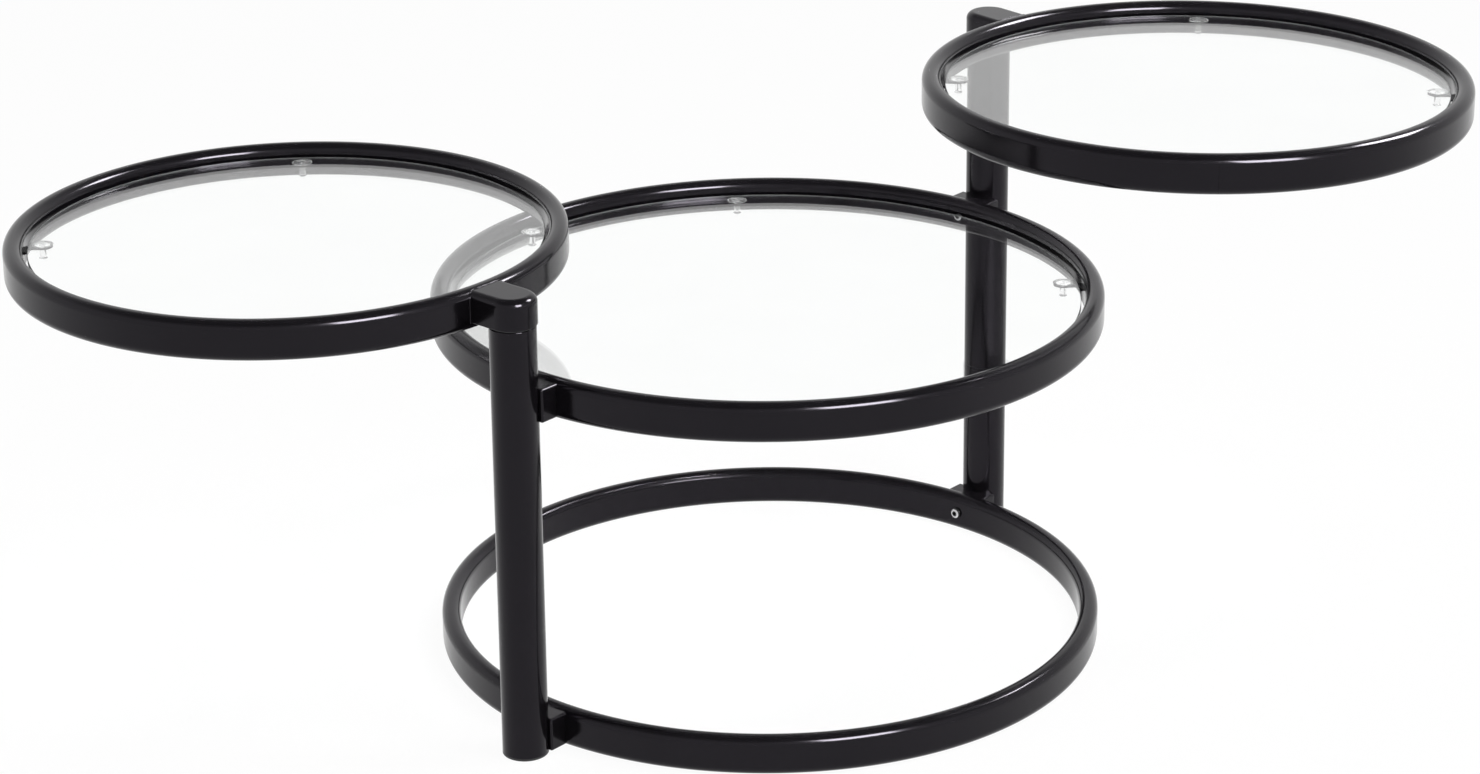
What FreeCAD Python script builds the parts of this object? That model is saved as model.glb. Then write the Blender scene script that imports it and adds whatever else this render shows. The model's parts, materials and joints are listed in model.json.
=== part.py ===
import FreeCAD, Part
import math
import os
import Sketcher

# A coffee table of two large rings on two posts, with a round glass top swivelling on each post.
# Lengths are millimetres and angles are degrees. Z is up, the floor is z = 0, and the origin is
# below the middle of the whole table's outline with both tops swung out.

SIZES = {
    # Flat-oval tube that all four rings are bent from
    "tube_width": 17.0,
    "tube_height": 35.0,
    "tube_edge_radius": 8.0,
    "tube_wall": 1.5,
    # Rings: outer diameters, and the heights of their middles above the floor
    "large_ring_diameter": 600.0,
    "swivel_ring_diameter": 487.0,
    "middle_ring_level": 320.0,
    "lower_top_level": 402.0,
    "upper_top_level": 498.5,
    # Directions seen from above: rear post from the base ring's centre, each top from its post
    "rear_post_direction": 49.7,
    "lower_top_direction": 139.25,
    "upper_top_direction": -50.7,
    # Posts, and the gap between a post and each ring beside it
    "post_diameter": 40.0,
    "post_wall": 2.0,
    "post_gap": 6.5,
    "post_edge_radius": 1.0,
    # Collar cap over a post and saddle bracket beside it
    "collar_width": 42.5,
    "cap_drop": 10.0,
    "cap_rise": 16.5,
    "cap_top_thickness": 5.0,
    "cap_top_radius": 7.0,
    "cap_base_radius": 0.8,
    "bracket_height": 30.0,
    "bracket_horn_distance": 10.0,
    "bracket_edge_radius": 2.0,
    # Spindle, bushes and circlip inside a post
    "seam_height": 1.2,
    "spindle_diameter": 20.0,
    "spindle_depth": 56.0,
    "spindle_tail": 4.5,
    "spindle_chamfer": 1.0,
    "bush_flange_diameter": 38.0,
    "upper_bush_length": 20.0,
    "lower_bush_length": 14.0,
    "circlip_diameter": 26.0,
    "circlip_thickness": 1.2,
    "circlip_opening": 9.0,
    "circlip_play": 0.3,
    "groove_depth": 0.7,
    # Plug under each post
    "foot_flange_height": 2.5,
    "foot_edge_radius": 1.2,
    "foot_plug_length": 8.0,
    "foot_plug_wall": 2.5,
    # Button-head socket screws and the threaded inserts that they go into
    "screw_diameter": 6.0,
    "screw_length": 35.0,
    "screw_chamfer": 0.5,
    "screw_hole_diameter": 6.5,
    "screw_head_diameter": 10.5,
    "screw_head_height": 3.3,
    "screw_head_radius": 2.6,
    "socket_width": 4.0,
    "socket_depth": 2.0,
    "insert_diameter": 9.0,
    "insert_bulge_diameter": 12.0,
    "insert_bulge_length": 3.5,
    "insert_length": 12.0,
    # Glass panes
    "glass_thickness": 5.0,
    "glass_edge_chamfer": 0.4,
    "glass_screw_clearance": 0.3,
    "top_glass_rise": 1.8,
    # Tabs under the glass and the clear pads on them
    "middle_tab_turn": 46.2,
    "lower_tab_turn": 43.8,
    "upper_tab_turn": 43.6,
    "tab_width": 16.5,
    "tab_thickness": 1.5,
    "tab_reach": 15.2,
    "tab_eye_diameter": 17.6,
    "tab_hole_diameter": 13.8,
    "pad_height": 1.0,
    "pad_diameter": 18.5,
    "pad_dish_depth": 0.4,
    "pad_lip_width": 1.2,
    "pad_lip_height": 0.4,
    "pad_seat_width": 1.0,
    "pad_plug_clearance": 0.2,
    "pad_stem_diameter": 5.4,
    "pad_stem_length": 9.0,
    "pad_bead_diameter": 7.3,
    "pad_bead_height": 1.6,
    "pad_tip_radius": 0.8,
    # Clearances: running and press fits, and the hairline between pieces that are welded or seated
    "fit_clearance": 0.05,
    "seat_clearance": 0.1,
    # How far every cut runs past the piece that it cuts
    "overrun": 5.0,
}

TABS_PER_RING = 4
HEXAGON_SIDES = 6
HALF_TURN = 180.0
NEARLY_NOTHING = 1e-9
UPWARD = FreeCAD.Vector(0, 0, 1)

# Sizes worked out from the driving ones, as expressions
TUBE_MIDDLE = "Sizes.tube_height / 2"
LARGE_RADIUS = "Sizes.large_ring_diameter / 2"
SWIVEL_RADIUS = "Sizes.swivel_ring_diameter / 2"
POST_RADIUS = "Sizes.post_diameter / 2"
POST_BORE_RADIUS = f"({POST_RADIUS} - Sizes.post_wall)"
POST_OFFSET = f"(Sizes.post_gap + {POST_RADIUS})"
POST_REACH = f"({LARGE_RADIUS} + {POST_OFFSET})"
SWIVEL_REACH = f"({SWIVEL_RADIUS} + {POST_OFFSET})"
SCREW_HOLE_RADIUS = "Sizes.screw_hole_diameter / 2"
PLUG_RADIUS = f"({POST_BORE_RADIUS} - Sizes.fit_clearance)"
BUSH_BORE_RADIUS = "(Sizes.spindle_diameter / 2 + Sizes.fit_clearance)"
POST_TOP_DROP = "(Sizes.cap_drop + Sizes.seam_height)"
TAB_TOP = "-Sizes.pad_height"
TAB_BASE = "-(Sizes.pad_height + Sizes.tab_thickness)"
GLASS_EDGE_GAP = "(Sizes.seat_clearance + Sizes.screw_head_height + Sizes.glass_screw_clearance)"
CIRCLIP_BASE = "(Sizes.spindle_tail - Sizes.spindle_depth)"
CIRCLIP_TOP = f"({CIRCLIP_BASE} + Sizes.circlip_thickness)"
LOWER_BUSH_BASE = f"({CIRCLIP_TOP} + Sizes.circlip_play)"

# Centres seen from above, before the origin is moved to the middle of the outline
BASE_CENTRE = ("0", "0")
REAR_POST = (f"{POST_REACH} * cos(Sizes.rear_post_direction)",
             f"{POST_REACH} * sin(Sizes.rear_post_direction)")
FRONT_POST = (f"-{REAR_POST[0]}", f"-{REAR_POST[1]}")
LOWER_CENTRE = (f"({FRONT_POST[0]} + {SWIVEL_REACH} * cos(Sizes.lower_top_direction))",
                f"({FRONT_POST[1]} + {SWIVEL_REACH} * sin(Sizes.lower_top_direction))")
UPPER_CENTRE = (f"({REAR_POST[0]} + {SWIVEL_REACH} * cos(Sizes.upper_top_direction))",
                f"({REAR_POST[1]} + {SWIVEL_REACH} * sin(Sizes.upper_top_direction))")

document = FreeCAD.newDocument("coffee_table")
sheet = document.addObject("Spreadsheet::Sheet", "Sizes")
nodes = []


def fill_sheet():
    """Writes every driving dimension into the sheet, under its own name."""
    for row, (name, size) in enumerate(SIZES.items(), start=1):
        sheet.set(f"A{row}", name)
        sheet.set(f"B{row}", str(size))
        sheet.setAlias(f"B{row}", name)
    document.recompute()


def value(expression):
    """Today's value of an expression, used to draw a sketch where its constraints will hold it."""
    return float(sheet.evalExpression(expression))


def outline_middle(axis):
    """Middle of the whole table along one axis, 0 for across and 1 for away."""
    lower, upper = LOWER_CENTRE[axis], UPPER_CENTRE[axis]
    low = f"min({lower} - {SWIVEL_RADIUS}; {upper} - {SWIVEL_RADIUS}; -{LARGE_RADIUS})"
    high = f"max({lower} + {SWIVEL_RADIUS}; {upper} + {SWIVEL_RADIUS}; {LARGE_RADIUS})"
    return f"({low} + {high}) / 2"


def new_body(label):
    """An empty body that becomes a node of its own."""
    body = document.addObject("PartDesign::Body", label)
    body.Label = label
    nodes.append(body)
    return body


def place(piece, centre, level, direction):
    """Puts a piece's own origin over a centre, at a level, turned to a direction."""
    piece.setExpression("Placement.Base.x", f"{centre[0]} - {outline_middle(0)}")
    piece.setExpression("Placement.Base.y", f"{centre[1]} - {outline_middle(1)}")
    piece.setExpression("Placement.Base.z", level)
    piece.setExpression("Placement.Rotation.Angle", direction)


def hold(sketch, kind, geometry, point, expression):
    """Holds a sketch point at a distance from the sketch's origin, along one of its axes."""
    distance = value(expression)
    if abs(distance) < NEARLY_NOTHING:
        axis = -2 if kind == "DistanceX" else -1
        sketch.addConstraint(Sketcher.Constraint("PointOnObject", geometry, point, axis))
        return
    forward = distance > 0
    ends = (-1, 1, geometry, point) if forward else (geometry, point, -1, 1)
    index = sketch.addConstraint(Sketcher.Constraint(kind, *ends, abs(distance)))
    name = f"{kind}_{geometry}_{point}"
    sketch.renameConstraint(index, name)
    sketch.setExpression(f"Constraints.{name}", expression if forward else f"-({expression})")


def hold_radius(sketch, geometry, expression):
    """Binds the radius of a sketch's circle or arc."""
    index = sketch.addConstraint(Sketcher.Constraint("Radius", geometry, value(expression)))
    name = f"Radius_{geometry}"
    sketch.renameConstraint(index, name)
    sketch.setExpression(f"Constraints.{name}", expression)


def circle(across, up, radius):
    """A drawing of one circle."""
    def draw(sketch):
        centre = FreeCAD.Vector(value(across), value(up), 0)
        geometry = sketch.addGeometry(Part.Circle(centre, UPWARD, value(radius)), False)
        hold(sketch, "DistanceX", geometry, 3, across)
        hold(sketch, "DistanceY", geometry, 3, up)
        hold_radius(sketch, geometry, radius)
    return draw


def outline(*corners):
    """A drawing of straight lines through corners, back to the first one."""
    def draw(sketch):
        places = [FreeCAD.Vector(value(across), value(up), 0) for across, up in corners]
        lines = []
        for start, end in zip(places, places[1:] + places[:1]):
            lines.append(sketch.addGeometry(Part.LineSegment(start, end), False))
        for line, following in zip(lines, lines[1:] + lines[:1]):
            sketch.addConstraint(Sketcher.Constraint("Coincident", line, 2, following, 1))
        for line, (across, up) in zip(lines, corners):
            hold(sketch, "DistanceX", line, 1, across)
            hold(sketch, "DistanceY", line, 1, up)
    return draw


def rectangle(left, right, low, high):
    """A drawing of a rectangle between four distances."""
    return outline((left, low), (right, low), (right, high), (left, high))


def rounded_rectangle(left, right, low, high, radius):
    """A drawing of a rectangle whose four corners are arcs of one radius."""
    def draw(sketch):
        x_low, x_high, y_low, y_high = value(left), value(right), value(low), value(high)
        r = value(radius)
        runs = [((x_low + r, y_low), (x_high - r, y_low)), ((x_high, y_low + r), (x_high, y_high - r)),
                ((x_high - r, y_high), (x_low + r, y_high)), ((x_low, y_high - r), (x_low, y_low + r))]
        centres = [(x_high - r, y_low + r), (x_high - r, y_high - r),
                   (x_low + r, y_high - r), (x_low + r, y_low + r)]
        lines, arcs = [], []
        for start, end in runs:
            run = Part.LineSegment(FreeCAD.Vector(*start, 0), FreeCAD.Vector(*end, 0))
            lines.append(sketch.addGeometry(run, False))
        for quarter, centre in enumerate(centres):
            whole = Part.Circle(FreeCAD.Vector(*centre, 0), UPWARD, r)
            arc = Part.ArcOfCircle(whole, math.pi / 2 * (quarter - 1), math.pi / 2 * quarter)
            arcs.append(sketch.addGeometry(arc, False))
        for line, arc, following in zip(lines, arcs, lines[1:] + lines[:1]):
            sketch.addConstraint(Sketcher.Constraint("Tangent", line, 2, arc, 1))
            sketch.addConstraint(Sketcher.Constraint("Tangent", arc, 2, following, 1))
        for line, kind in zip(lines, ("Horizontal", "Vertical", "Horizontal", "Vertical")):
            sketch.addConstraint(Sketcher.Constraint(kind, line))
        for arc in arcs[1:]:
            sketch.addConstraint(Sketcher.Constraint("Equal", arcs[0], arc))
        hold_radius(sketch, arcs[0], radius)
        hold(sketch, "DistanceY", lines[0], 1, low)
        hold(sketch, "DistanceX", lines[1], 1, right)
        hold(sketch, "DistanceY", lines[2], 1, high)
        hold(sketch, "DistanceX", lines[3], 1, left)
    return draw


def new_sketch(body, name, role, drawings, lift="0", shift="0"):
    """A sketch on one of the body's planes, lifted off it and shifted along its first axis."""
    sketch = body.newObject("Sketcher::SketchObject", f"{body.Name}_{name}_sketch")
    plane = next(item for item in body.Origin.OriginFeatures if item.Role == role)
    sketch.AttachmentSupport = [(plane, "")]
    sketch.MapMode = "FlatFace"
    sketch.setExpression("AttachmentOffset.Base.x", shift)
    sketch.setExpression("AttachmentOffset.Base.z", lift)
    for draw in drawings:
        draw(sketch)
    return sketch


def pad(body, name, drawings, height, lift="0"):
    """Adds a drawing in plan, raised from its lift by a height."""
    feature_sketch = new_sketch(body, name, "XY_Plane", drawings, lift)
    feature = body.newObject("PartDesign::Pad", f"{body.Name}_{name}")
    feature.Profile = feature_sketch
    feature.setExpression("Length", height)
    document.recompute()


def cut(body, name, role, drawings, depth, lift="0", forward=True):
    """Cuts a drawing out of the body, along its plane's normal if forward and else against it."""
    before = body.Shape
    feature_sketch = new_sketch(body, name, role, drawings, lift)
    feature = body.newObject("PartDesign::Pocket", f"{body.Name}_{name}")
    feature.Profile = feature_sketch
    feature.Reversed = forward
    feature.setExpression("Length", depth)
    document.recompute()
    check_cut(body, name, before)


def turn(body, name, drawings, axis="V_Axis", shift="0"):
    """Adds a drawing in the upright plane, turned about one of the sketch's axes."""
    feature_sketch = new_sketch(body, name, "XZ_Plane", drawings, shift=shift)
    feature = body.newObject("PartDesign::Revolution", f"{body.Name}_{name}")
    feature.Profile = feature_sketch
    feature.ReferenceAxis = (feature_sketch, [axis])
    document.recompute()


def cut_turned(body, name, drawings, shift):
    """Cuts a drawing turned about an upright axis that lies a shift away from the body's own."""
    before = body.Shape
    feature_sketch = new_sketch(body, name, "XZ_Plane", drawings, shift=shift)
    feature = body.newObject("PartDesign::Groove", f"{body.Name}_{name}")
    feature.Profile = feature_sketch
    feature.ReferenceAxis = (feature_sketch, ["V_Axis"])
    document.recompute()
    check_cut(body, name, before)


def check_cut(body, name, before):
    """Stops the build where a cut has left the body as it was before."""
    same_faces = len(body.Shape.Faces) == len(before.Faces)
    if same_faces and not body.Shape.Volume < before.Volume:
        raise RuntimeError(f"{body.Label}: {name} cuts nothing")


def dress(body, kind, name, chosen, size):
    """Fillets or chamfers the edges of the body that a test chooses."""
    names = [f"Edge{number}" for number, edge in enumerate(body.Shape.Edges, start=1) if chosen(edge)]
    if not names:
        raise RuntimeError(f"{body.Label}: no edge for {name}")
    base = body.Tip
    feature = body.newObject(f"PartDesign::{kind}", f"{body.Name}_{name}")
    feature.Base = (base, names)
    feature.setExpression("Radius" if kind == "Fillet" else "Size", size)
    document.recompute()


def near(first, second):
    """Whether two lengths are the same but for rounding."""
    return abs(first - second) < value("Sizes.fit_clearance")


def is_outermost(edge):
    """Whether the edge goes round the outside of a post."""
    return near(edge.BoundBox.XMax, value(POST_RADIUS))


def lies_level(edge, height):
    """Whether the whole edge lies at one height."""
    return near(edge.BoundBox.ZMin, height) and near(edge.BoundBox.ZMax, height)


def tube_section(outer_radius, inset="0"):
    """Section of the flat-oval tube of a ring, drawn in by an inset all round."""
    return rounded_rectangle(f"{outer_radius} - Sizes.tube_width + {inset}", f"{outer_radius} - {inset}",
                             f"-{TUBE_MIDDLE} + {inset}", f"{TUBE_MIDDLE} - {inset}",
                             f"Sizes.tube_edge_radius - {inset}")


def build_ring(label, outer_radius, drilled=False):
    """A ring of hollow tube. A drilled one has a hole towards each post at its middle height."""
    body = new_body(label)
    turn(body, "tube", [tube_section(outer_radius), tube_section(outer_radius, "Sizes.tube_wall")])
    if drilled:
        hole = [circle("0", "0", SCREW_HOLE_RADIUS)]
        cut(body, "rear_hole", "YZ_Plane", hole, f"{outer_radius} + Sizes.overrun")
        cut(body, "front_hole", "YZ_Plane", hole, f"{outer_radius} + Sizes.overrun", forward=False)
    return body


def build_post(label, top_level):
    """A tubular post on its foot flange, with a hole for an insert at each bracket's screw."""
    body = new_body(label)
    walls = [circle("0", "0", POST_RADIUS), circle("0", "0", POST_BORE_RADIUS)]
    height = f"{top_level} - {POST_TOP_DROP} - Sizes.foot_flange_height"
    pad(body, "tube", walls, height, "Sizes.foot_flange_height")
    top = value(f"{top_level} - {POST_TOP_DROP}")
    dress(body, "Fillet", "top_edge", lambda edge: lies_level(edge, top) and is_outermost(edge),
          "Sizes.post_edge_radius")
    hole_radius = "Sizes.insert_diameter / 2 + Sizes.fit_clearance"
    for name, level in (("base_hole", TUBE_MIDDLE), ("middle_hole", "Sizes.middle_ring_level")):
        cut(body, name, "YZ_Plane", [circle("0", level, hole_radius)], f"{POST_RADIUS} + Sizes.overrun")
    return body


def build_foot_cap(label):
    """A plastic plug under a post, with the flange that the post stands on."""
    body = new_body(label)
    flange_top = "Sizes.foot_flange_height"
    plug_top = "Sizes.foot_flange_height + Sizes.foot_plug_length"
    hollow = f"{PLUG_RADIUS} - Sizes.foot_plug_wall"
    turn(body, "plug", [outline(("0", "0"), (POST_RADIUS, "0"), (POST_RADIUS, flange_top),
                                (PLUG_RADIUS, flange_top), (PLUG_RADIUS, plug_top),
                                (hollow, plug_top), (hollow, flange_top), ("0", flange_top))])
    dress(body, "Fillet", "rim", lambda edge: lies_level(edge, 0), "Sizes.foot_edge_radius")
    return body


def build_bracket(label):
    """A saddle bracket from a large ring to its post, whose middle is the bracket's own origin."""
    body = new_body(label)
    end = f"{POST_OFFSET} + Sizes.tube_width / 2"
    half_width = "Sizes.collar_width / 2"
    block = [rectangle("Sizes.bracket_horn_distance", end, f"-{half_width}", half_width)]
    pad(body, "block", block, "Sizes.bracket_height", "-Sizes.bracket_height / 2")
    ring_end = value(end)
    dress(body, "Fillet", "edges", lambda edge: not near(edge.BoundBox.XMin, ring_end),
          "Sizes.bracket_edge_radius")
    saddle = [circle("0", "0", f"{POST_RADIUS} + Sizes.seat_clearance")]
    cut(body, "saddle", "XY_Plane", saddle, "Sizes.bracket_height + 2 * Sizes.overrun",
        "-Sizes.bracket_height / 2 - Sizes.overrun")
    cut_turned(body, "ring_seat", [tube_section(LARGE_RADIUS, "-Sizes.seat_clearance")], POST_REACH)
    cut(body, "screw_hole", "YZ_Plane", [circle("0", "0", SCREW_HOLE_RADIUS)], end)
    return body


def build_screw(label):
    """A button-head socket screw along X, its head on the inner wall of a large ring."""
    body = new_body(label)
    shank = "Sizes.screw_diameter / 2"
    head = "Sizes.screw_head_diameter / 2"
    seat = f"({POST_OFFSET} + Sizes.tube_width + Sizes.seat_clearance)"
    tip = f"{seat} - Sizes.screw_length"
    crown = f"{seat} + Sizes.screw_head_height"
    turn(body, "blank", [outline((tip, "0"), (tip, f"{shank} - Sizes.screw_chamfer"),
                                 (f"{tip} + Sizes.screw_chamfer", shank), (seat, shank),
                                 (seat, head), (crown, head), (crown, "0"))], axis="H_Axis")
    crown_place = value(crown)
    dress(body, "Fillet", "dome", lambda edge: near(edge.BoundBox.XMin, crown_place),
          "Sizes.screw_head_radius")
    corner = f"Sizes.socket_width / 2 / cos({HALF_TURN / HEXAGON_SIDES})"
    corners = [(f"{corner} * cos({2 * HALF_TURN * side / HEXAGON_SIDES})",
                f"{corner} * sin({2 * HALF_TURN * side / HEXAGON_SIDES})") for side in range(HEXAGON_SIDES)]
    cut(body, "socket", "YZ_Plane", [outline(*corners)], "Sizes.socket_depth", crown, forward=False)
    return body


def build_insert(label):
    """A threaded insert along X, its body in a post's wall and its bulge behind that wall."""
    body = new_body(label)
    bore = "(Sizes.screw_diameter / 2 + Sizes.fit_clearance)"
    sleeve = "Sizes.insert_diameter / 2"
    bulge = "Sizes.insert_bulge_diameter / 2"
    mouth = f"(sqrt(({POST_RADIUS}) ^ 2 - ({sleeve}) ^ 2) - Sizes.seat_clearance)"
    bulge_end = f"(sqrt({POST_BORE_RADIUS} ^ 2 - ({bulge}) ^ 2) - Sizes.seat_clearance)"
    bulge_start = f"{bulge_end} - Sizes.insert_bulge_length"
    start = f"{mouth} - Sizes.insert_length"
    turn(body, "sleeve", [outline((start, bore), (start, sleeve), (bulge_start, sleeve),
                                  (bulge_start, bulge), (bulge_end, bulge), (bulge_end, sleeve),
                                  (mouth, sleeve), (mouth, bore))], axis="H_Axis")
    return body


def build_upper_bush(label):
    """The bush in a post's mouth, whose flange carries the collar cap. Its origin is the post's top."""
    body = new_body(label)
    base = "-Sizes.upper_bush_length"
    flange = "Sizes.bush_flange_diameter / 2"
    turn(body, "bush", [outline((BUSH_BORE_RADIUS, base), (PLUG_RADIUS, base), (PLUG_RADIUS, "0"),
                                (flange, "0"), (flange, "Sizes.seam_height"),
                                (BUSH_BORE_RADIUS, "Sizes.seam_height"))])
    return body


def build_lower_bush(label):
    """The plain bush further down the post."""
    body = new_body(label)
    top = f"{LOWER_BUSH_BASE} + Sizes.lower_bush_length"
    turn(body, "bush", [rectangle(BUSH_BORE_RADIUS, PLUG_RADIUS, LOWER_BUSH_BASE, top)])
    return body


def build_spindle(label):
    """The spindle from the collar cap's bore down through both bushes, grooved for a circlip."""
    body = new_body(label)
    radius = "Sizes.spindle_diameter / 2"
    base = "-Sizes.spindle_depth"
    top = f"{POST_TOP_DROP} + Sizes.cap_rise - Sizes.cap_top_thickness - Sizes.seat_clearance"
    groove = f"{radius} - Sizes.groove_depth"
    groove_top = f"{CIRCLIP_TOP} + Sizes.fit_clearance"
    groove_base = f"{CIRCLIP_BASE} - Sizes.fit_clearance"
    turn(body, "spindle", [outline(("0", base), (f"{radius} - Sizes.spindle_chamfer", base),
                                   (radius, f"{base} + Sizes.spindle_chamfer"), (radius, groove_base),
                                   (groove, groove_base), (groove, groove_top), (radius, groove_top),
                                   (radius, top), ("0", top))])
    return body


def build_circlip(label):
    """The open ring in the spindle's groove, under the lower bush."""
    body = new_body(label)
    outer = "Sizes.circlip_diameter / 2"
    inner = "Sizes.spindle_diameter / 2 - Sizes.groove_depth + Sizes.fit_clearance"
    walls = [circle("0", "0", outer), circle("0", "0", inner)]
    pad(body, "ring", walls, "Sizes.circlip_thickness", CIRCLIP_BASE)
    half_opening = "Sizes.circlip_opening / 2"
    opening = [rectangle("0", f"{outer} + Sizes.overrun", f"-{half_opening}", half_opening)]
    cut(body, "opening", "XY_Plane", opening, "Sizes.circlip_thickness + 2 * Sizes.overrun",
        f"{CIRCLIP_BASE} - Sizes.overrun")
    return body


def build_cap(label):
    """The D-shaped collar cap over a post, welded to its swivel ring, at the ring's middle height."""
    body = new_body(label)
    height = "Sizes.cap_drop + Sizes.cap_rise"
    base = "-Sizes.cap_drop"
    end = f"{POST_OFFSET} + Sizes.tube_width / 2"
    half_width = "Sizes.collar_width / 2"
    pad(body, "round", [circle("0", "0", half_width)], height, base)
    pad(body, "block", [rectangle("0", end, f"-{half_width}", half_width)], height, base)
    ring_end, top, bottom = value(end), value("Sizes.cap_rise"), value(base)
    dress(body, "Fillet", "top_edges",
          lambda edge: lies_level(edge, top) and not near(edge.BoundBox.XMin, ring_end),
          "Sizes.cap_top_radius")
    dress(body, "Fillet", "base_edges",
          lambda edge: lies_level(edge, bottom) and not near(edge.BoundBox.XMin, ring_end),
          "Sizes.cap_base_radius")
    cut_turned(body, "ring_seat", [tube_section(SWIVEL_RADIUS, "-Sizes.seat_clearance")], SWIVEL_REACH)
    bore = [circle("0", "0", "Sizes.spindle_diameter / 2 + Sizes.fit_clearance")]
    cut(body, "bore", "XY_Plane", bore, f"{height} - Sizes.cap_top_thickness + Sizes.overrun",
        f"{base} - Sizes.overrun")
    return body


def build_glass(label, ring_radius):
    """A round pane with chamfered edges that clears the screws' heads. Its underside is at zero."""
    body = new_body(label)
    radius = f"{ring_radius} - Sizes.tube_width - {GLASS_EDGE_GAP}"
    pad(body, "pane", [circle("0", "0", radius)], "Sizes.glass_thickness")
    dress(body, "Chamfer", "edges", lambda edge: near(edge.BoundBox.ZMin, edge.BoundBox.ZMax),
          "Sizes.glass_edge_chamfer")
    return body


def build_tab(label, ring_radius):
    """A steel tab welded to the inside of a ring, with a round eye, pointing to the ring's middle."""
    body = new_body(label)
    wall = f"{ring_radius} - Sizes.tube_width"
    eye = f"{wall} - Sizes.tab_reach"
    half_width = "Sizes.tab_width / 2"
    strip = [rectangle(eye, f"{wall} + Sizes.overrun", f"-{half_width}", half_width)]
    pad(body, "strip", strip, "Sizes.tab_thickness", TAB_BASE)
    pad(body, "eye", [circle(eye, "0", "Sizes.tab_eye_diameter / 2")], "Sizes.tab_thickness", TAB_BASE)
    depth = "Sizes.tab_thickness + 2 * Sizes.overrun"
    below = f"{TAB_BASE} - Sizes.overrun"
    beyond = [circle("0", "0", f"{wall} - Sizes.seat_clearance"), circle("0", "0", ring_radius)]
    cut(body, "wall_end", "XY_Plane", beyond, depth, below)
    cut(body, "hole", "XY_Plane", [circle(eye, "0", "Sizes.tab_hole_diameter / 2")], depth, below)
    return body


def build_pad(label, ring_radius):
    """A clear cup under the glass, with a plug in a tab's eye and a beaded stem below it."""
    body = new_body(label)
    rim = "Sizes.pad_diameter / 2"
    shoulder = "Sizes.tab_hole_diameter / 2 + Sizes.pad_seat_width"
    plug = "Sizes.tab_hole_diameter / 2 - Sizes.pad_plug_clearance"
    stem = "Sizes.pad_stem_diameter / 2"
    bead = "Sizes.pad_bead_diameter / 2"
    bead_top = f"{TAB_BASE} - Sizes.pad_stem_length"
    bead_middle = f"{bead_top} - Sizes.pad_bead_height / 2"
    tip = f"{bead_top} - Sizes.pad_bead_height"
    turn(body, "cup", [outline(("0", "-Sizes.pad_dish_depth"), (f"{rim} - Sizes.pad_lip_width", "0"),
                               (rim, "0"), (rim, "-Sizes.pad_lip_height"), (shoulder, TAB_TOP),
                               (plug, TAB_TOP), (plug, TAB_BASE), (stem, TAB_BASE), (stem, bead_top),
                               (bead, bead_middle), (stem, tip), ("0", tip))],
         shift=f"{ring_radius} - Sizes.tube_width - Sizes.tab_reach")
    tip_height = value(tip)
    dress(body, "Fillet", "tip", lambda edge: lies_level(edge, tip_height), "Sizes.pad_tip_radius")
    return body


def build_glazing(name, ring_radius, centre, level, direction):
    """The pane of a ring, with its tabs and pads set out from a direction."""
    place(build_glass(f"{name}_glass", ring_radius), centre, level, direction)
    for number in range(TABS_PER_RING):
        turned = f"{direction} + Sizes.{name}_tab_turn + {2 * HALF_TURN * number / TABS_PER_RING}"
        place(build_tab(f"{name}_glass_tab_{number + 1}", ring_radius), centre, level, turned)
        place(build_pad(f"{name}_glass_pad_{number + 1}", ring_radius), centre, level, turned)


def gather(label, members):
    """Makes several bodies into one node, as a group of separate solids."""
    group = document.addObject("Part::Compound", label)
    group.Label = label
    group.Links = members
    for member in members:
        nodes.remove(member)
    nodes.append(group)


def build_frame():
    """The two large rings, the posts, and all that fastens or carries them."""
    direction = "Sizes.rear_post_direction"
    levels = (("base", TUBE_MIDDLE), ("middle", "Sizes.middle_ring_level"))
    for ring, level in levels:
        place(build_ring(f"{ring}_ring", LARGE_RADIUS, drilled=True), BASE_CENTRE, level, direction)
    build_glazing("middle", LARGE_RADIUS, BASE_CENTRE, "Sizes.middle_ring_level", direction)
    screws, inserts = [], []
    for name, centre, inward, top_level in (
            ("front", FRONT_POST, direction, "Sizes.lower_top_level"),
            ("rear", REAR_POST, f"{direction} + {HALF_TURN}", "Sizes.upper_top_level")):
        place(build_post(f"{name}_post", top_level), centre, "0", inward)
        place(build_foot_cap(f"{name}_foot_cap"), centre, "0", inward)
        post_top = f"{top_level} - {POST_TOP_DROP}"
        place(build_upper_bush(f"{name}_upper_bush"), centre, post_top, inward)
        place(build_lower_bush(f"{name}_lower_bush"), centre, post_top, inward)
        for ring, level in levels:
            place(build_bracket(f"{ring}_{name}_bracket"), centre, level, inward)
            screws.append(build_screw(f"{ring}_{name}_screw"))
            place(screws[-1], centre, level, inward)
            inserts.append(build_insert(f"{ring}_{name}_insert"))
            place(inserts[-1], centre, level, inward)
    gather("ring_screws", screws)
    gather("threaded_inserts", inserts)


def build_swivel_top(name, post, centre, level, direction):
    """A swivel ring with its collar cap, spindle, circlip and glass."""
    post_top = f"{level} - {POST_TOP_DROP}"
    back = f"{direction} + {HALF_TURN}"
    place(build_ring(f"{name}_swivel_ring", SWIVEL_RADIUS), centre, level, back)
    place(build_cap(f"{name}_collar_cap"), post, level, direction)
    place(build_spindle(f"{name}_spindle"), post, post_top, direction)
    place(build_circlip(f"{name}_circlip"), post, post_top, direction)
    build_glazing(name, SWIVEL_RADIUS, centre, f"{level} + Sizes.top_glass_rise", back)


def check_model():
    """Stops the build at a failed object or a node without a sound shape."""
    for item in document.Objects:
        if "Invalid" in item.State or "Error" in item.State:
            raise RuntimeError(f"{item.Label} failed: {item.State}")
    for node in nodes:
        if node.Shape.isNull() or not node.Shape.isValid():
            raise RuntimeError(f"{node.Label} has no sound shape")


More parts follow.
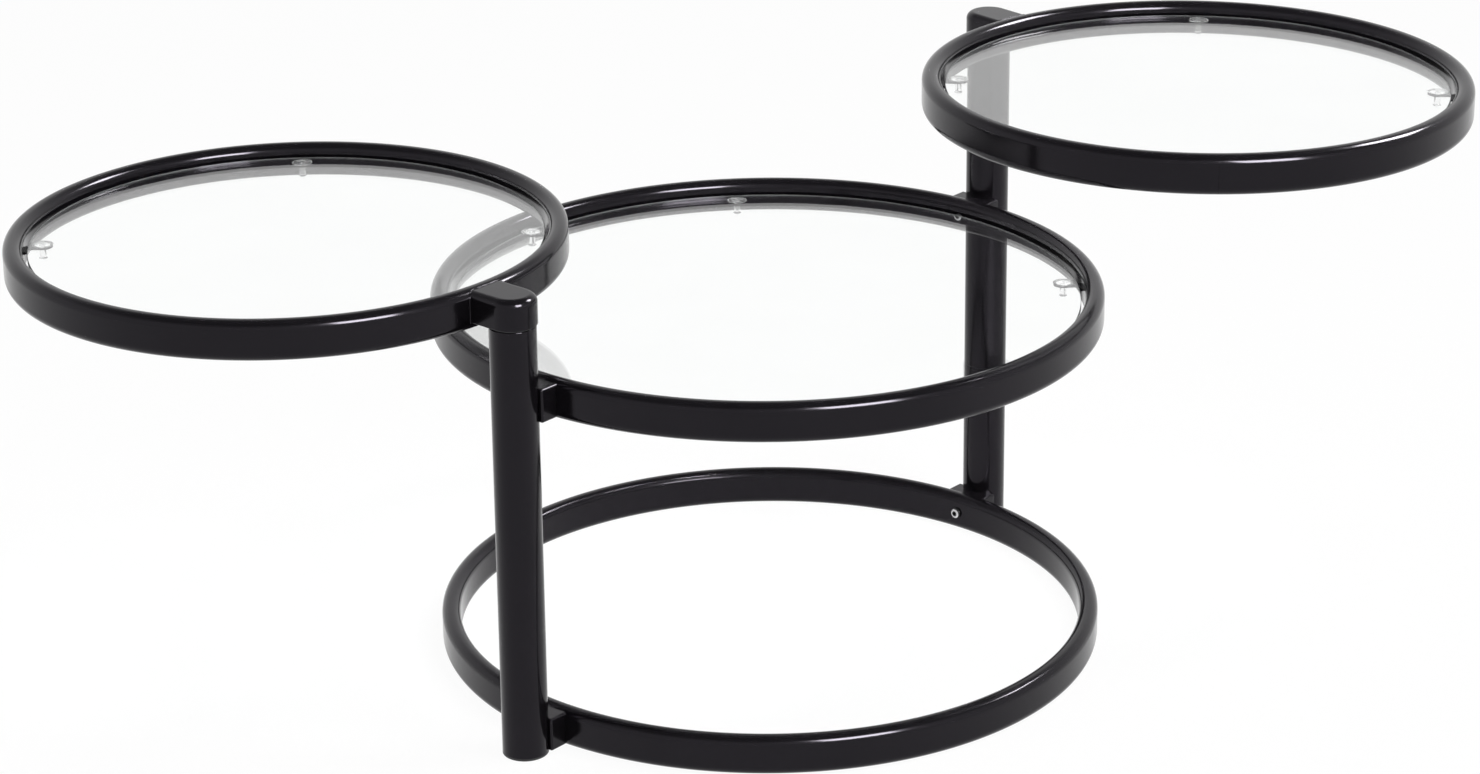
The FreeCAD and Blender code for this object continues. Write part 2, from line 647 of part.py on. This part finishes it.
def write_parts():
    """Writes each node's shape to its own file."""
    os.makedirs("parts", exist_ok=True)
    for node in nodes:
        node.Shape.exportStep(f"parts/{node.Label}.step")
        box = node.Shape.BoundBox
        print(f"{node.Label}: {len(node.Shape.Solids)} solids, {node.Shape.Volume / 1000:.2f} cm3, "
              f"z {box.ZMin:.2f} to {box.ZMax:.2f}")


fill_sheet()
build_frame()
build_swivel_top("lower", FRONT_POST, LOWER_CENTRE, "Sizes.lower_top_level", "Sizes.lower_top_direction")
build_swivel_top("upper", REAR_POST, UPPER_CENTRE, "Sizes.upper_top_level", "Sizes.upper_top_direction")
document.recompute()
check_model()
write_parts()
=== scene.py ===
import json
import math

import bmesh
import bpy
from mathutils import Matrix, Vector

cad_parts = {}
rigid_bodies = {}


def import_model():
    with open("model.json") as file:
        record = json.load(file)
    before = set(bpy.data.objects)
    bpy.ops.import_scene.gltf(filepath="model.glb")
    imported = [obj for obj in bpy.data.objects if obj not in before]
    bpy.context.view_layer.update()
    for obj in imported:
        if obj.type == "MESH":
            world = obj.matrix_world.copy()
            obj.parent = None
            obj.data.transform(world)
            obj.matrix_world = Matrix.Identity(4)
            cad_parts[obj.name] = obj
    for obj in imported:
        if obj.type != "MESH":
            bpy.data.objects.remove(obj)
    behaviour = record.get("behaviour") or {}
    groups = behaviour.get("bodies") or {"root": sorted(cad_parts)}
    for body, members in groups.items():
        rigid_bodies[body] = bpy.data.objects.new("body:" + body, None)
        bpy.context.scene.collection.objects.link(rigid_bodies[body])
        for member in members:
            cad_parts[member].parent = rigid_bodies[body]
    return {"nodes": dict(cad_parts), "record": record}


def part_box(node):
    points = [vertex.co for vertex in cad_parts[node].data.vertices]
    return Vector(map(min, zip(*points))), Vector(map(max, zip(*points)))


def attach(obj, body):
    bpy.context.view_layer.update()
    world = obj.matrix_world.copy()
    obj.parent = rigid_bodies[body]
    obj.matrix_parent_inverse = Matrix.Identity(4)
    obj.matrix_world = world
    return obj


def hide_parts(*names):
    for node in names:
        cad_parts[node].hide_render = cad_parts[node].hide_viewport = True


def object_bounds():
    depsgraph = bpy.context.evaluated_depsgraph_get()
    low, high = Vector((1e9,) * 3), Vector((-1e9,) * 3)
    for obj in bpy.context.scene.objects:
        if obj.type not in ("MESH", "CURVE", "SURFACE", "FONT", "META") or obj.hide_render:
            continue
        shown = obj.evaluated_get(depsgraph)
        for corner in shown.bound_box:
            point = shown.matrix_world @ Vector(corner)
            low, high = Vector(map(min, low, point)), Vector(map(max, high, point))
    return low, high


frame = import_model()
cad_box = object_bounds()

# Camera as solved from the photograph's outlines, in metres and degrees, its film in millimetres
CAMERA_PLACE = (0.0066, -3.1407, 1.4751)
CAMERA_PITCH = 18.95
CAMERA_ROLL = -0.514
SENSOR_WIDTH = 36.0
LENS = 91.30
SHIFT_ACROSS = -0.0104
SHIFT_UP = -0.1122

# Lighting: levels, the darkening overhead, the point that lamps face, and the floor
WORLD_LEVEL = 0.38
FLOOR_COLOUR = 0.9
FLOOR_WHITE_SHARE = 0.95
OVERHEAD_LEVEL = 0.3
OVERHEAD_START = 0.45
OVERHEAD_END = 0.8
LIT_PLACE = (0.0, 0.0, 0.3)
FLOOR_SIZE = 30.0

# Noise over the surfaces: its roughness, its scales, and how far the mottling spreads
NOISE_ROUGHNESS = 0.55
PAINT_CLOUD_SCALE = 14.0
PAINT_PATCH_SCALE = 60.0
CLEAR_CLOUD_SCALE = 9.0
CLEAR_PATCH_SCALE = 40.0
CLEAR_DARKEST_SHADE = 0.985
TINT_START = 0.3
TINT_END = 0.7

# Measures of the rings' tube, their glass, their screws and what is welded to them, in metres
TUBE_WIDTH = 0.017
TUBE_HEIGHT = 0.035
TUBE_EDGE_RADIUS = 0.008
LARGE_RADIUS = 0.3
SWIVEL_RADIUS = 0.2435
GLASS_EDGE_GAP = 0.0037
GLASS_THICKNESS = 0.005
GLASS_EDGE_CHAMFER = 0.0004
CAP_HALF_WIDTH = 0.02125
CAP_DROP = 0.01
CAP_RISE = 0.0165
CAP_TOP_RADIUS = 0.007
MIDDLE_SCREW_LEVEL = 0.32
SCREW_HEAD_HEIGHT = 0.0033
# Radii of the bright ring painted on each screw head as its highlight
HIGHLIGHT_RING_INNER_RADIUS = 0.0027
HIGHLIGHT_RING_OUTER_RADIUS = 0.0044
TAB_HALF_WIDTH = 0.00825
TAB_TOP_DROP = 0.001
TAB_THICKNESS = 0.0015
BEAD_RADIUS = 0.0007
SEAM_RADIUS = 0.0004
SEAM_END_DROP = 0.002
WELD_DISTANCE = 1e-6

# Directions seen from the middle of a ring, and what tells faces apart
POST_DIRECTION = math.radians(49.7)
SEAM_DIRECTION = math.radians(-92.0)
SHARP_ANGLE = math.radians(30.0)
EDGE_SLOPE = 0.9
FACING_SLOPE = 0.5

# Numbers of tabs, and of steps along curved shapes
TABS_PER_RING = 4
LATHE_STEPS = 360
ARC_STEPS = 10
TAB_WELD_STEPS = 12
CAP_SIDE_STEPS = 10
CAP_CORNER_STEPS = 8
CAP_TOP_STEPS = 7
CAP_BASE_STEPS = 16
SEAM_STEPS = 24

# Waves in a weld bead's thickness along its points, as (share, pace)
BEAD_WAVES = ((0.12, 1.9), (0.08, 0.7))


def new_material(name):
    """An empty node material with its output, as (material, nodes, links, output)."""
    material = bpy.data.materials.new(name)
    material.use_nodes = True
    tree = material.node_tree
    tree.nodes.clear()
    output = tree.nodes.new("ShaderNodeOutputMaterial")
    return material, tree.nodes, tree.links, output


def noise(nodes, links, place, scale, detail=4.0):
    """A noise texture over the object's own coordinates."""
    texture = nodes.new("ShaderNodeTexNoise")
    texture.inputs["Scale"].default_value = scale
    texture.inputs["Detail"].default_value = detail
    texture.inputs["Roughness"].default_value = NOISE_ROUGHNESS
    links.new(place, texture.inputs["Vector"])
    return texture.outputs["Fac"]


def spread(nodes, links, source, low, high):
    """Maps a 0 to 1 value to a range."""
    mapped = nodes.new("ShaderNodeMapRange")
    mapped.inputs["To Min"].default_value = low
    mapped.inputs["To Max"].default_value = high
    links.new(source, mapped.inputs["Value"])
    return mapped.outputs["Result"]


def tint(nodes, links, source, dark, light):
    """Maps a 0 to 1 value to a colour between two."""
    ramp = nodes.new("ShaderNodeValToRGB")
    ramp.color_ramp.elements[0].color = (*dark, 1.0)
    ramp.color_ramp.elements[0].position = TINT_START
    ramp.color_ramp.elements[1].color = (*light, 1.0)
    ramp.color_ramp.elements[1].position = TINT_END
    links.new(source, ramp.inputs["Fac"])
    return ramp.outputs["Color"]


def bump(nodes, links, height, distance):
    """A bump from a height."""
    node = nodes.new("ShaderNodeBump")
    node.inputs["Distance"].default_value = distance
    links.new(height, node.inputs["Height"])
    return node.outputs["Normal"]


def surface(name, dark, light, roughness, grain_scale, grain_depth, metallic=0.0, **settings):
    """A solid material whose colour, roughness and bump all vary over the surface."""
    material, nodes, links, output = new_material(name)
    place = nodes.new("ShaderNodeTexCoord").outputs["Object"]
    shader = nodes.new("ShaderNodeBsdfPrincipled")
    shader.inputs["Metallic"].default_value = metallic
    for socket, number in settings.items():
        shader.inputs[socket.replace("_", " ")].default_value = number
    cloud = noise(nodes, links, place, PAINT_CLOUD_SCALE)
    links.new(tint(nodes, links, cloud, dark, light), shader.inputs["Base Color"])
    patches = noise(nodes, links, place, PAINT_PATCH_SCALE)
    links.new(spread(nodes, links, patches, *roughness), shader.inputs["Roughness"])
    grain = noise(nodes, links, place, grain_scale, detail=2.0)
    links.new(bump(nodes, links, grain, grain_depth), shader.inputs["Normal"])
    links.new(shader.outputs["BSDF"], output.inputs["Surface"])
    return material


def clear_surface(name, colour, roughness, grain_scale, grain_depth, shadow_level, ior,
                  clearness=1.0):
    """A see-through material that lets most of the light through to what it stands over."""
    material, nodes, links, output = new_material(name)
    place = nodes.new("ShaderNodeTexCoord").outputs["Object"]
    shader = nodes.new("ShaderNodeBsdfPrincipled")
    shader.inputs["Transmission Weight"].default_value = clearness
    shader.inputs["IOR"].default_value = ior
    darkest = tuple(level * CLEAR_DARKEST_SHADE for level in colour)
    cloud = noise(nodes, links, place, CLEAR_CLOUD_SCALE)
    links.new(tint(nodes, links, cloud, darkest, colour), shader.inputs["Base Color"])
    patches = noise(nodes, links, place, CLEAR_PATCH_SCALE)
    links.new(spread(nodes, links, patches, *roughness), shader.inputs["Roughness"])
    grain = noise(nodes, links, place, grain_scale, detail=1.0)
    links.new(bump(nodes, links, grain, grain_depth), shader.inputs["Normal"])
    clear = nodes.new("ShaderNodeBsdfTransparent")
    clear.inputs["Color"].default_value = (shadow_level, shadow_level, shadow_level, 1.0)
    rays = nodes.new("ShaderNodeLightPath")
    mix = nodes.new("ShaderNodeMixShader")
    links.new(rays.outputs["Is Shadow Ray"], mix.inputs["Fac"])
    links.new(shader.outputs["BSDF"], mix.inputs[1])
    links.new(clear.outputs["BSDF"], mix.inputs[2])
    links.new(mix.outputs["Shader"], output.inputs["Surface"])
    return material


def make_materials():
    """Every material slot's finish."""
    return {
        "black_paint": surface(
            "satin_black_paint", dark=(0.0036, 0.0031, 0.004), light=(0.0056, 0.0049, 0.0061),
            roughness=(0.11, 0.17), grain_scale=900.0, grain_depth=0.000006,
            Specular_IOR_Level=0.22, Specular_Tint=(0.93, 0.87, 1.0, 1.0)),
        "clear_glass": clear_surface(
            "clear_float_glass", colour=(0.985, 0.995, 0.99), roughness=(0.0, 0.006),
            grain_scale=3.0, grain_depth=0.00001, shadow_level=0.92, ior=1.52),
        "ground_glass": surface(
            "ground_glass_edge", dark=(0.1, 0.105, 0.105), light=(0.15, 0.155, 0.155),
            roughness=(0.3, 0.45), grain_scale=3000.0, grain_depth=0.00001),
        "clear_soft_plastic": clear_surface(
            "clear_soft_plastic", colour=(0.98, 0.98, 0.985), roughness=(0.05, 0.12),
            grain_scale=500.0, grain_depth=0.00002, shadow_level=0.8, ior=1.47, clearness=0.92),
        "screw_steel": surface(
            "blackened_screw_steel", dark=(0.02, 0.02, 0.021), light=(0.04, 0.04, 0.041),
            roughness=(0.25, 0.4), grain_scale=1500.0, grain_depth=0.00001, metallic=0.6),
        # Bright metal painted on the screw heads as their highlight ring
        "screw_highlight": surface(
            "painted_highlight_screw_ring", dark=(0.6, 0.6, 0.61), light=(0.74, 0.74, 0.75),
            roughness=(0.2, 0.32), grain_scale=1500.0, grain_depth=0.00001, metallic=1.0),
        "bright_steel": surface(
            "bright_turned_steel", dark=(0.55, 0.55, 0.56), light=(0.66, 0.66, 0.67),
            roughness=(0.18, 0.3), grain_scale=2500.0, grain_depth=0.00001, metallic=1.0),
        "bush_plastic": surface(
            "bush_acetal", dark=(0.03, 0.03, 0.032), light=(0.045, 0.045, 0.047),
            roughness=(0.35, 0.5), grain_scale=1200.0, grain_depth=0.00002),
        "foot_plastic": surface(
            "foot_polyethylene", dark=(0.02, 0.02, 0.021), light=(0.032, 0.032, 0.034),
            roughness=(0.45, 0.6), grain_scale=700.0, grain_depth=0.00005),
    }


def is_seen(nodes, links):
    """1 for a ray that looks at the background: from the camera, off gloss or through glass."""
    rays = nodes.new("ShaderNodeLightPath")
    largest = rays.outputs["Is Camera Ray"]
    for ray in ("Is Glossy Ray", "Is Transmission Ray"):
        node = nodes.new("ShaderNodeMath")
        node.operation = "MAXIMUM"
        links.new(largest, node.inputs[0])
        links.new(rays.outputs[ray], node.inputs[1])
        largest = node.outputs[0]
    return largest


def make_world():
    """A white background, darker overhead, which lights the object at a lower level."""
    world = bpy.data.worlds.new("studio")
    world.use_nodes = True
    nodes, links = world.node_tree.nodes, world.node_tree.links
    nodes.clear()
    output = nodes.new("ShaderNodeOutputWorld")
    lighting = nodes.new("ShaderNodeBackground")
    lighting.inputs["Strength"].default_value = WORLD_LEVEL
    seen = nodes.new("ShaderNodeBackground")
    direction = nodes.new("ShaderNodeSeparateXYZ")
    links.new(nodes.new("ShaderNodeTexCoord").outputs["Generated"], direction.inputs["Vector"])
    overhead = nodes.new("ShaderNodeMapRange")
    overhead.inputs["From Min"].default_value = OVERHEAD_START
    overhead.inputs["From Max"].default_value = OVERHEAD_END
    overhead.inputs["To Min"].default_value = 1.0
    overhead.inputs["To Max"].default_value = OVERHEAD_LEVEL
    links.new(direction.outputs["Z"], overhead.inputs["Value"])
    links.new(overhead.outputs["Result"], seen.inputs["Strength"])
    mix = nodes.new("ShaderNodeMixShader")
    links.new(is_seen(nodes, links), mix.inputs["Fac"])
    for shader, socket in ((lighting, 1), (seen, 2)):
        shader.inputs["Color"].default_value = (1.0, 1.0, 1.0, 1.0)
        links.new(shader.outputs["Background"], mix.inputs[socket])
    links.new(mix.outputs["Shader"], output.inputs["Surface"])
    bpy.context.scene.world = world


def make_floor():
    """A pale floor that looks nearly white and keeps the table's shadow."""
    material, nodes, links, output = new_material("pale_floor")
    matt = nodes.new("ShaderNodeBsdfDiffuse")
    matt.inputs["Color"].default_value = (FLOOR_COLOUR, FLOOR_COLOUR, FLOOR_COLOUR, 1.0)
    white = nodes.new("ShaderNodeEmission")
    share = nodes.new("ShaderNodeMath")
    share.operation = "MULTIPLY"
    share.inputs[1].default_value = FLOOR_WHITE_SHARE
    links.new(is_seen(nodes, links), share.inputs[0])
    mix = nodes.new("ShaderNodeMixShader")
    links.new(share.outputs[0], mix.inputs["Fac"])
    links.new(matt.outputs["BSDF"], mix.inputs[1])
    links.new(white.outputs["Emission"], mix.inputs[2])
    links.new(mix.outputs["Shader"], output.inputs["Surface"])
    bpy.ops.mesh.primitive_plane_add(size=FLOOR_SIZE, location=(0.0, 0.0, cad_box[0][2]))
    floor = bpy.context.object
    floor.name = "studio_floor"
    floor.data.materials.append(material)


def painted_pieces(paint):
    """A group of every piece that has the paint's finish."""
    group = bpy.data.collections.new("painted_pieces")
    for item in bpy.data.objects:
        if item.type in ("MESH", "CURVE") and paint.name in item.data.materials:
            group.objects.link(item)
    return group


def add_light(name, place, size, power, on_matt=True, on_gloss=True):
    """A soft area light that faces the table and lights its matt side, its gloss or both."""
    lamp = bpy.data.lights.new(name, "AREA")
    lamp.shape = "RECTANGLE"
    lamp.size, lamp.size_y = size
    lamp.energy = power
    item = bpy.data.objects.new(name, lamp)
    item.location = place
    item.rotation_euler = (Vector(LIT_PLACE) - Vector(place)).to_track_quat("-Z", "Y").to_euler()
    item.visible_camera = False
    item.visible_diffuse = on_matt
    item.visible_glossy = on_gloss
    item.visible_transmission = on_matt
    bpy.context.scene.collection.objects.link(item)
    return item


def make_lights(paint):
    """Three soft boxes that light matt sides, and two cards that only the paint's gloss shows."""
    add_light("right_box", place=(1.72, -0.13, 2.76), size=(0.5, 0.5), power=34.0, on_gloss=False)
    add_light("overhead_box", place=(1.0, -0.78, 3.1), size=(0.5, 0.5), power=34.0, on_gloss=False)
    add_light("left_box", place=(-3.0, 0.6, 1.6), size=(0.8, 2.2), power=16.0, on_gloss=False)
    front_card = add_light("front_card", place=(1.6, -2.75, 2.09), size=(1.48, 1.31), power=320.0,
                           on_matt=False)
    back_card = add_light("back_card", place=(2.279, 0.927, 2.653), size=(0.95, 0.95), power=150.0,
                          on_matt=False)
    group = painted_pieces(paint)
    for card in (front_card, back_card):
        card.light_linking.receiver_collection = group


def make_camera():
    """The photograph's own viewpoint."""
    lens = bpy.data.cameras.new("photograph_camera")
    lens.sensor_width = SENSOR_WIDTH
    lens.lens = LENS
    lens.shift_x = SHIFT_ACROSS
    lens.shift_y = SHIFT_UP
    camera = bpy.data.objects.new("photograph_camera", lens)
    camera.matrix_world = (Matrix.Translation(CAMERA_PLACE)
                           @ Matrix.Rotation(math.radians(90.0 - CAMERA_PITCH), 4, "X")
                           @ Matrix.Rotation(math.radians(CAMERA_ROLL), 4, "Z"))
    bpy.context.scene.collection.objects.link(camera)
    bpy.context.scene.camera = camera


def finish_nodes(materials):
    """Gives each CAD node the finish of its slot."""
    for row in frame["record"]["subparts"]:
        item = frame["nodes"][row["node"]]
        item.data.materials.clear()
        item.data.materials.append(materials[row["material_slot"]])


def middle_of(node):
    """Middle of a node's box at rest."""
    low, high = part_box(node)
    return (Vector(low) + Vector(high)) / 2


def paint_screw_highlights(materials):
    """Painted highlight: a bright metal ring on the flat of each screw's otherwise blackened head, where
    the dome's highlight shows.
    """
    screws = frame["nodes"]["ring_screws"].data
    screws.materials.append(materials["screw_highlight"])
    centre = middle_of("base_ring")
    out = Vector((math.cos(POST_DIRECTION), math.sin(POST_DIRECTION), 0.0))
    levels = (TUBE_HEIGHT / 2, MIDDLE_SCREW_LEVEL)
    for face in screws.polygons:
        along = (face.center - centre).dot(out)
        across = (face.center - centre).dot(Vector((-out.y, out.x, 0.0)))
        up = min(abs(face.center.z - level) for level in levels)
        spread_out = math.hypot(across, up)
        on_head = abs(along) < LARGE_RADIUS - TUBE_WIDTH - SCREW_HEAD_HEIGHT / 2
        faces_inward = abs(face.normal.dot(out)) > FACING_SLOPE
        # Faces within this band get the painted highlight ring
        on_highlight_ring = HIGHLIGHT_RING_INNER_RADIUS < spread_out < HIGHLIGHT_RING_OUTER_RADIUS
        if on_head and faces_inward and on_highlight_ring:
            face.material_index = 1


def add_piece(name, data, body, slot, material, *replaced):
    """Puts a new mesh or curve in the scene, riding on a body."""
    item = bpy.data.objects.new(name, data)
    bpy.context.scene.collection.objects.link(item)
    data.materials.append(material)
    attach(item, body)
    if replaced:
        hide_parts(*replaced)


def lathe(name, centre, section, closed):
    """A mesh turned about an upright axis from the (radius, height) points of its section."""
    points, faces = [], []
    for step in range(LATHE_STEPS):
        angle = math.tau * step / LATHE_STEPS
        points += [centre + Vector((radius * math.cos(angle), radius * math.sin(angle), height))
                   for radius, height in section]
    count = len(section)
    for step in range(LATHE_STEPS):
        here, there = step * count, (step + 1) % LATHE_STEPS * count
        for low in range(count if closed else count - 1):
            high = (low + 1) % count
            faces.append((here + low, there + low, there + high, here + high))
    mesh = bpy.data.meshes.new(name)
    mesh.from_pydata(points, [], faces)
    mesh.shade_smooth()
    return mesh


def tube_section(outer_radius):
    """Points round the flat-oval tube's section, as (radius, height, outward and upward slope)."""
    section = []
    low, high = outer_radius - TUBE_WIDTH + TUBE_EDGE_RADIUS, outer_radius - TUBE_EDGE_RADIUS
    rise = TUBE_HEIGHT / 2 - TUBE_EDGE_RADIUS
    for quarter, (across, up) in enumerate(((high, rise), (low, rise), (low, -rise), (high, -rise))):
        for step in range(ARC_STEPS + 1):
            angle = math.pi / 2 * (quarter + step / ARC_STEPS)
            outward, upward = math.cos(angle), math.sin(angle)
            section.append((across + TUBE_EDGE_RADIUS * outward, up + TUBE_EDGE_RADIUS * upward,
                            outward, upward))
    return section


def wall_radius(outer_radius, height):
    """Radius of a ring's outer wall at a height from its middle."""
    beyond = max(0.0, abs(height) - TUBE_HEIGHT / 2 + TUBE_EDGE_RADIUS)
    return outer_radius - TUBE_EDGE_RADIUS + math.sqrt(TUBE_EDGE_RADIUS ** 2 - beyond ** 2)


def bead(name, paths, radius, closed):
    """A curve of round beads along paths, a little uneven as a weld is."""
    curve = bpy.data.curves.new(name, "CURVE")
    curve.dimensions = "3D"
    curve.bevel_depth = radius
    curve.bevel_resolution = 4
    for path in paths:
        spline = curve.splines.new("POLY")
        spline.points.add(len(path) - 1)
        spline.use_cyclic_u = closed
        spline.use_smooth = True
        for number, (point, place) in enumerate(zip(spline.points, path)):
            point.co = (*place, 1.0)
            point.radius = 1.0 + sum(share * math.sin(pace * number) for share, pace in BEAD_WAVES)
    return curve


def make_ring(node, outer_radius, body, materials):
    """A smooth ring of tube in a CAD ring's place."""
    section = tube_section(outer_radius)
    mesh = lathe(f"{node}_tube", middle_of(node), [point[:2] for point in section], closed=True)
    slopes = []
    for step in range(LATHE_STEPS):
        angle = math.tau * step / LATHE_STEPS
        slopes += [(outward * math.cos(angle), outward * math.sin(angle), upward)
                   for _, _, outward, upward in section]
    mesh.normals_split_custom_set_from_vertices(slopes)
    add_piece(f"{node}_tube", mesh, body, "black_paint", materials["black_paint"], node)


def make_pane(node, outer_radius, body, materials):
    """A pane of clear glass with ground edges, in a CAD pane's place."""
    radius = outer_radius - TUBE_WIDTH - GLASS_EDGE_GAP
    flat = radius - GLASS_EDGE_CHAMFER
    half = GLASS_THICKNESS / 2
    side = half - GLASS_EDGE_CHAMFER
    section = [(0.0, -half), (flat / 2, -half), (flat, -half), (radius, -side),
               (radius, side), (flat, half), (flat / 2, half), (0.0, half)]
    mesh = lathe(f"{node}_pane", middle_of(node), section, closed=False)
    shape = bmesh.new()
    shape.from_mesh(mesh)
    bmesh.ops.remove_doubles(shape, verts=shape.verts, dist=WELD_DISTANCE)
    shape.to_mesh(mesh)
    shape.free()
    mesh.set_sharp_from_angle(angle=SHARP_ANGLE)
    add_piece(f"{node}_pane", mesh, body, "clear_glass", materials["clear_glass"], node)
    mesh.materials.append(materials["ground_glass"])
    for face in mesh.polygons:
        if abs(face.normal.z) < EDGE_SLOPE:
            face.material_index = 1


def make_tab_welds(node, outer_radius, body, materials):
    """Weld beads above and below the wall end of each tab under a pane."""
    centre = middle_of(node) - Vector((0.0, 0.0, GLASS_THICKNESS / 2))
    wall = outer_radius - TUBE_WIDTH
    spread_angle = math.asin(TAB_HALF_WIDTH / wall)
    paths = []
    for number in range(1, TABS_PER_RING + 1):
        out = middle_of(f"{node}_tab_{number}") - centre
        middle = math.atan2(out.y, out.x)
        for drop in (TAB_TOP_DROP, TAB_TOP_DROP + TAB_THICKNESS):
            path = []
            for step in range(TAB_WELD_STEPS + 1):
                angle = middle + spread_angle * (2 * step / TAB_WELD_STEPS - 1)
                path.append(centre + Vector((wall * math.cos(angle), wall * math.sin(angle), -drop)))
            paths.append(path)
    curve = bead(f"{node}_tab_welds", paths, BEAD_RADIUS, closed=False)
    add_piece(f"{node}_tab_welds", curve, body, "black_paint", materials["black_paint"])


def make_cap_weld(name, body, materials):
    """The weld bead round the joint between a collar cap and its swivel ring."""
    ring = middle_of(f"{name}_swivel_ring")
    post = middle_of(f"{name}_spindle")
    inward = Vector((ring.x - post.x, ring.y - post.y, 0.0)).normalized()
    aside = Vector((-inward.y, inward.x, 0.0))
    corner = CAP_HALF_WIDTH - CAP_TOP_RADIUS
    side = CAP_DROP + CAP_RISE - CAP_TOP_RADIUS
    shape = [(CAP_HALF_WIDTH, side * step / CAP_SIDE_STEPS - CAP_DROP) for step in range(CAP_SIDE_STEPS)]
    for step in range(CAP_CORNER_STEPS + 1):
        angle = math.pi / 2 * step / CAP_CORNER_STEPS
        shape.append((corner + CAP_TOP_RADIUS * math.cos(angle),
                      CAP_RISE - CAP_TOP_RADIUS + CAP_TOP_RADIUS * math.sin(angle)))
    shape += [(corner * (1 - step / CAP_TOP_STEPS), CAP_RISE) for step in range(1, CAP_TOP_STEPS)]
    across = [(-y, z) for y, z in reversed(shape)]
    base = [(CAP_HALF_WIDTH * (2 * step / CAP_BASE_STEPS - 1), -CAP_DROP)
            for step in range(1, CAP_BASE_STEPS)]
    path = []
    for y, z in shape + [(0.0, CAP_RISE)] + across + base:
        radius = wall_radius(SWIVEL_RADIUS, z)
        depth = math.sqrt(radius ** 2 - y ** 2)
        path.append(ring - depth * inward + y * aside + Vector((0.0, 0.0, z)))
    curve = bead(f"{name}_cap_weld", [path], BEAD_RADIUS, closed=True)
    add_piece(f"{name}_cap_weld", curve, body, "black_paint", materials["black_paint"])


def make_ring_seam(node, outer_radius, body, materials):
    """The dressed butt weld where a ring's tube closes on itself."""
    centre = middle_of(node)
    out = Vector((math.cos(SEAM_DIRECTION), math.sin(SEAM_DIRECTION), 0.0))
    half = TUBE_HEIGHT / 2 - SEAM_END_DROP
    heights = [half * (1 - 2 * step / SEAM_STEPS) for step in range(SEAM_STEPS + 1)]
    path = [centre + wall_radius(outer_radius, height) * out + Vector((0.0, 0.0, height))
            for height in heights]
    curve = bead(f"{node}_seam", [path], SEAM_RADIUS, closed=False)
    add_piece(f"{node}_seam", curve, body, "black_paint", materials["black_paint"])


def make_details(materials):
    """All the pieces that are added to the CAD nodes or stand for them."""
    for node in ("base_ring", "middle_ring"):
        make_ring(node, LARGE_RADIUS, "frame", materials)
    make_pane("middle_glass", LARGE_RADIUS, "frame", materials)
    make_tab_welds("middle_glass", LARGE_RADIUS, "frame", materials)
    for name in ("lower", "upper"):
        body = f"{name}_top"
        make_ring(f"{name}_swivel_ring", SWIVEL_RADIUS, body, materials)
        make_pane(f"{name}_glass", SWIVEL_RADIUS, body, materials)
        make_tab_welds(f"{name}_glass", SWIVEL_RADIUS, body, materials)
        make_cap_weld(name, body, materials)
    make_ring_seam("upper_swivel_ring", SWIVEL_RADIUS, "upper_top", materials)


materials = make_materials()
finish_nodes(materials)
paint_screw_highlights(materials)
make_details(materials)
bpy.context.scene.view_settings.view_transform = "Standard"
make_world()
make_floor()
make_lights(materials["black_paint"])
make_camera()
